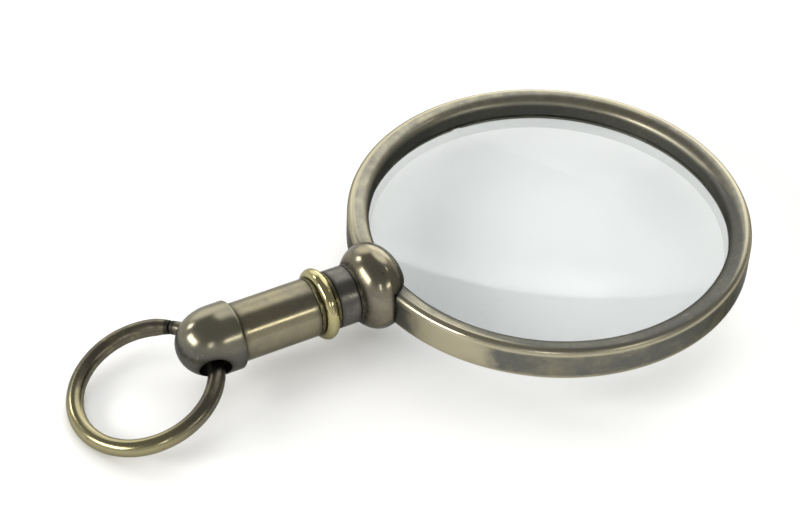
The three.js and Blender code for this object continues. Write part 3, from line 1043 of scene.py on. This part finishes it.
def make_cap():
    inner = cap_radius - CAP_WALL
    blank = turned([
        *reversed(dome(inner, dome_length - CAP_WALL, 36)),
        (inner, cap_mouth + MOUTH_BREAK),
        (inner + MOUTH_BREAK, cap_mouth),
        *arc((cap_radius - CAP_EDGE, cap_mouth + CAP_EDGE), CAP_EDGE, -90, 0, 8),
        *dome(cap_radius, dome_length, 44),
    ], closed=False, steps=160, longest=0.35)
    along_y = Matrix.Rotation(-math.pi / 2, 4, "X")
    reach = cap_radius + 2
    drill = rod(HOLE_RADIUS, -reach, reach, 96)
    hole_at = Vector((-HOLE_DROP, 0, pivot_station))
    bmesh.ops.transform(drill, matrix=Matrix.Translation(hole_at) @ along_y, verts=drill.verts)
    to_centre = (Vector((pivot.x, 0, pivot.z)) - ring_centre).length
    barrel = [(0, -cap_radius)]
    for i in range(25):
        y = -cap_radius + 2 * cap_radius * i / 24
        across = math.sqrt(RING_RADIUS**2 - y**2)
        barrel.append((abs(across - to_centre) + WIRE_RADIUS * RING_RADIUS / across + SWING_GAP, y))
    relief = turned([*barrel, (0, cap_radius)], closed=False, steps=96, longest=50)
    pivot_at = Vector((pivot_drop, 0, pivot_station))
    bmesh.ops.transform(relief, matrix=Matrix.Translation(pivot_at) @ along_y, verts=relief.verts)
    bm = cut_away(blank, drill, relief)

    def hole_distance(place):
        return math.hypot(place.x + HOLE_DROP, place.z - pivot_station) - HOLE_RADIUS

    def at_mouth(place):
        return hole_distance(place) < 0.5 and math.hypot(place.x, place.y) > cap_radius * 0.75

    eased = ease(bm, lambda e: all(at_mouth(v.co) for v in e.verts), HOLE_BREAK)
    print("eased", eased, "edges of the cross hole")
    mark(bm, lambda place: min(hole_distance(place), abs(place.z - cap_mouth)), reach=0.3)
    return piece("cap", bm, ON_HANDLE, "lens_and_handle", CAP_BRASS, "end_cap")


make_cap()

# %% [markdown]
# ## The hanging ring
#
# A length of brass wire is bent to a circle through the cross hole, and its ends meet in a butt joint that
# stays open by a hair. A torus has no ends, so the wire's round section is spun through slightly less than
# a full turn, and the two ends are filled and eased. Both ends are filed thinner, the one that had to pass
# the hole over a longer stretch, and bending left the wire a few hundredths uneven.

# %% Bend the ring
SLIT = 0.15
SLIT_ANGLE = math.radians(43)
FILED_ANGLE = math.radians(38)
FILED_AWAY = 0.2
WIRE_BREAK = 0.07
WIRE_STEPS = 220
BEND_DENTS = 0.03


def make_ring():
    gap = 2 * math.asin(SLIT / 2 / RING_RADIUS)
    bm = bmesh.new()
    section = bmesh.ops.create_circle(bm, cap_ends=False, segments=40, radius=WIRE_RADIUS)["verts"]
    bmesh.ops.rotate(bm, verts=section, cent=(0, 0, 0), matrix=Matrix.Rotation(math.pi / 2, 3, "X"))
    bmesh.ops.translate(bm, verts=section, vec=(RING_RADIUS, 0, 0))
    bmesh.ops.rotate(bm, verts=section, cent=(0, 0, 0), matrix=Matrix.Rotation(SLIT_ANGLE + gap / 2, 3, "Z"))
    spin(bm, bm.verts[:] + bm.edges[:], FULL_TURN - gap, WIRE_STEPS)
    bmesh.ops.holes_fill(bm, edges=[e for e in bm.edges if e.is_boundary], sides=0)
    bmesh.ops.recalc_face_normals(bm, faces=bm.faces)
    ease(bm, lambda e: any(len(f.verts) > 4 for f in e.link_faces), WIRE_BREAK, segments=3)
    for v in bm.verts:
        around = math.atan2(v.co.y, v.co.x)
        middle = Vector((math.cos(around), math.sin(around), 0)) * RING_RADIUS
        from_slit = SLIT_ANGLE - around
        reach = FILED_ANGLE if from_slit > 0 else FILED_ANGLE / 3
        filed = FILED_AWAY * max(0.0, 1 - abs(from_slit) / reach)
        uneven = BEND_DENTS * (0.5 + 0.5 * Noise.noise(v.co * 0.45))
        v.co = middle + (v.co - middle) * (1 - filed - uneven)
    slit_at = Vector((math.cos(SLIT_ANGLE), math.sin(SLIT_ANGLE), 0)) * RING_RADIUS
    mark(bm, lambda place: (place - slit_at).length - WIRE_RADIUS, reach=0.12)
    return piece("ring", bm, ON_RING, "hanging_ring", WIRE_BRASS, "hanging_ring")


make_ring()

# %% [markdown]
# ## The hidden parts
#
# The plug that closes the tube and the long screw are out of sight, and their working shapes are right as
# they are. A carried-over part keeps its mesh and only gets a better finish.

# %% Finish the hidden parts
for node, finish in (("end_plug", TUBE_BRASS), ("handle_screw", SCREW_STEEL)):
    mesh = frame["nodes"][node].data
    mesh.materials.clear()
    mesh.materials.append(finish)
    print(node, "keeps its shape and gets", finish.name)

# %% [markdown]
# ## Floor and light
#
# A plain pale floor, and soft light from large panels, as for a catalogue. Polished metal shows its
# surroundings, so the panels are placed for their reflections: two low on the left for the long lights on
# the dome and the ball, one in front on the right for the line along the tube, and two small lamps for
# short glints. A panel overhead lights the floor, but the metal doesn't mirror it, because it would wipe out
# the dark band that makes brass look like metal.


# %% Floor
FLOOR_SIZE = 3.0
FLOOR_GAP = 0.00002


def make_floor():
    bm = bmesh.new()
    bmesh.ops.create_grid(bm, x_segments=8, y_segments=8, size=FLOOR_SIZE)
    bmesh.ops.translate(bm, verts=bm.verts, vec=(0, 0, -FLOOR_GAP))
    mesh = bpy.data.meshes.new("floor")
    bm.to_mesh(mesh)
    bm.free()
    finish = bpy.data.materials.new("floor paper")
    finish.use_nodes = True
    shader = finish.node_tree.nodes["Principled BSDF"]
    shader.inputs["Base Color"].default_value = (0.9, 0.9, 0.895, 1)
    shader.inputs["Roughness"].default_value = 0.9
    shader.inputs["Specular IOR Level"].default_value = 0.1
    mesh.materials.append(finish)
    in_scene("floor", mesh)


make_floor()

# %% Panels
AIM_STATION = 37
TARGET = Vector((station(AIM_STATION) * MM, 0, handle_axis_z * MM))
WHITE = (1, 1, 1)
IVORY = (1.0, 0.985, 0.93)
CREAM = (1.0, 0.985, 0.88)


def direction(azimuth, elevation):
    """Unit vector. Azimuth 0 points to the near side, -Y, and 90 along +X."""
    a, e = math.radians(azimuth), math.radians(elevation)
    return Vector((math.sin(a) * math.cos(e), -math.cos(a) * math.cos(e), math.sin(e)))


def panel(name, azimuth, elevation, width_deg, height_deg, strength, colour=WHITE, mirrored=True, far=0.8):
    """A soft panel of a given apparent size, aimed at the handle. Its strength is its brightness."""
    lamp = bpy.data.lights.new(name, "AREA")
    lamp.shape = "RECTANGLE"
    lamp.size = 2 * far * math.tan(math.radians(width_deg) / 2)
    lamp.size_y = 2 * far * math.tan(math.radians(height_deg) / 2)
    lamp.energy = strength * lamp.size * lamp.size_y * math.pi
    lamp.color = colour
    made = in_scene(name, lamp)
    outwards = direction(azimuth, elevation)
    made.location = TARGET + outwards * far
    made.rotation_euler = outwards.to_track_quat("Z", "Y").to_euler()
    made.visible_glossy = mirrored
    made.visible_camera = False
    return made


panel("left panel", -96, 29, 38, 16, 9.0, IVORY)
panel("left lamp", -148, 28, 10, 12, 9.0, IVORY)
panel("front panel", 22, 31, 22, 6, 6.0, CREAM)
panel("near lamp", -27, 31, 6, 13, 6.0)
panel("high lamp", 78, 48, 8, 8, 2.0)
panel("overhead", 20, 88, 60, 60, 1.0, mirrored=False)

# %% [markdown]
# The room itself is a white cove that darkens overhead: light near the horizon, grey above. Beyond the
# glass three bright cloths glow, the brightest low on the right, and all fade out at their borders, so the
# glass shows no hard window. A dark screen on the right gives the ball its dark flank. The world shader
# reads only the direction looked in. Each patch is given by its azimuth and elevation, and by the angles
# from its middle where it starts and ends fading.


# %% Room
NEAR_HORIZON = (0.95, 0.95, 0.95, 1)
HIGH_UP = (0.31, 0.31, 0.31, 1)
DARK_SCREEN = (62, 12, 26, 44)
CLOTHS = (
    ((172, 22, 8, 28), (2.1, 2.1, 2.05, 1)),
    ((136, 10, 14, 26), (3.8, 3.8, 3.7, 1)),
    ((128, 43, 12, 28), (2.3, 2.3, 2.3, 1)),
)


def facing(tree, azimuth, elevation, near_edge_deg, far_edge_deg):
    """1 within the near edge of a direction, fading to 0 at the far edge."""
    looked_in = add(tree, "TexCoord").outputs["Generated"]
    along = tree.nodes.new("ShaderNodeVectorMath")
    along.operation = "DOT_PRODUCT"
    feed(tree, along.inputs[0], looked_in)
    feed(tree, along.inputs[1], direction(azimuth, elevation))
    low, high = math.cos(math.radians(far_edge_deg)), math.cos(math.radians(near_edge_deg))
    return ramp(tree, along.outputs["Value"], low, high)


def make_room():
    room = bpy.data.worlds.new("studio")
    room.use_nodes = True
    tree = room.node_tree
    up = add(tree, "SeparateXYZ", Vector=add(tree, "TexCoord").outputs["Generated"]).outputs["Z"]
    darker = calc(tree, "MAXIMUM", ramp(tree, up, 0.12, 0.75), facing(tree, *DARK_SCREEN))
    colour = mix_colour(tree, darker, NEAR_HORIZON, HIGH_UP)
    for where, glow in CLOTHS:
        colour = mix_colour(tree, facing(tree, *where), colour, glow)
    feed(tree, tree.nodes["Background"].inputs["Color"], colour)
    bpy.context.scene.world = room


make_room()

# %% [markdown]
# ## Camera
#
# The lens lies flat and the camera looks down at it from the handle's side, with a long lens so that the
# round rim stays a clean ellipse.

# %% Camera
CAMERA_TURN = math.radians(-30.834)
CAMERA_HEIGHT = math.radians(41.933)
CAMERA_ROLL = math.radians(2.68)
CAMERA_DISTANCE = 286.432
CAMERA_SHIFT = (18.308, 3.262)

camera = bpy.data.cameras.new("catalogue view")
camera.sensor_width = 36
camera.lens = 103.5
camera.clip_start = 0.01
looking = (
    Matrix.Rotation(CAMERA_TURN, 4, "Z")
    @ Matrix.Rotation(math.pi / 2 - CAMERA_HEIGHT, 4, "X")
    @ Matrix.Rotation(CAMERA_ROLL, 4, "Z")
)
back = looking @ Vector((-CAMERA_SHIFT[0], -CAMERA_SHIFT[1], CAMERA_DISTANCE))
view = in_scene("catalogue view", camera)
view.matrix_world = Matrix.Translation((Vector((rim_axis_x, 0, rim_foot_z)) + back) * MM) @ looking
bpy.context.scene.camera = view
bpy.context.scene.view_settings.view_transform = "Standard"
print("camera at", [round(c, 4) for c in view.matrix_world.translation])
